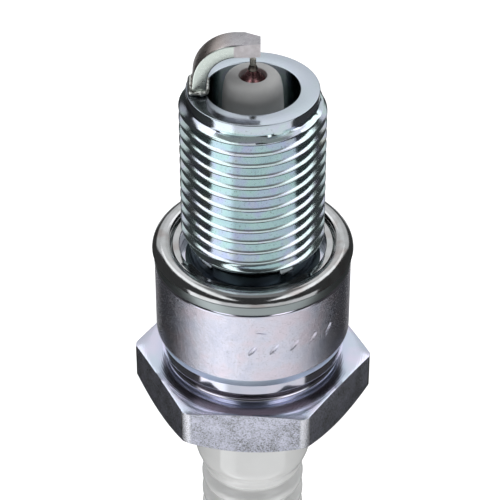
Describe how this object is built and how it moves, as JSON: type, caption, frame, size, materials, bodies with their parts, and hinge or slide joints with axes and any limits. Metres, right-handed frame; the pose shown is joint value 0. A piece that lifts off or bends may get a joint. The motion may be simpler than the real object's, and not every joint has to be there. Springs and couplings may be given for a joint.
{
  "type": "spark plug",
  "caption": "Threaded spark plug with fine-wire centre electrode, bent ground electrode, captive gasket, hexagon and screw-on terminal nut.",
  "frame": {"origin": "centre of the terminal nut's flat end face, the lowest point when the plug stands on its terminal", "axes": "+Z along the plug's axis from the terminal to the firing end; two of the hexagon's flats face -Y and +Y"},
  "size_m": [0.0238, 0.0208, 0.0749],
  "materials": {
    "zinc_plated_shell": "bright zinc plating with a faint green and lilac passivation",
    "zinc_plated_gasket": "bright zinc plating",
    "nickel_strap": "satin nickel alloy",
    "nickel_electrode": "satin, tinted copper-red",
    "weld_metal": "rough weld bead",
    "iridium_wire": "satin",
    "copper_core": "plain copper",
    "white_alumina": "matte nose, glazed outer half",
    "seal_glass": "fired copper glass",
    "resistor_body": "fired carbon and glass",
    "talc_powder": "pressed powder",
    "packing_steel": "plain steel",
    "nickel_plated_stud": "nickel plating",
    "nickel_plated_nut": "nickel plating"
  },
  "bodies": {
    "plug": {"shell": "zinc_plated_shell", "ground_electrode": "nickel_strap", "ground_weld": "weld_metal", "insulator": "white_alumina", "seat_washer": "packing_steel", "inner_packing_ring": "packing_steel", "outer_packing_ring": "packing_steel", "talc_fill": "talc_powder", "centre_electrode": "nickel_electrode", "electrode_copper_core": "copper_core", "tip_weld": "weld_metal", "iridium_tip": "iridium_wire", "electrode_glass_seal": "seal_glass", "resistor": "resistor_body", "stud_glass_seal": "seal_glass", "terminal_stud": "nickel_plated_stud"},
    "gasket": {"gasket": "zinc_plated_gasket"},
    "terminal_nut": {"terminal_nut": "nickel_plated_nut"}
  },
  "joints": [
    {"name": "gasket_spin", "type": "hinge", "parent": "plug", "child": "gasket", "pos_m": [0, 0, 0.0512], "axis": [0, 0, 1], "continuous": true},
    {"name": "terminal_nut_unscrew", "type": "slide", "parent": "plug", "child": "terminal_nut", "axis": [0, 0, -1], "range_m": [0, 0.0085]}
  ]
}
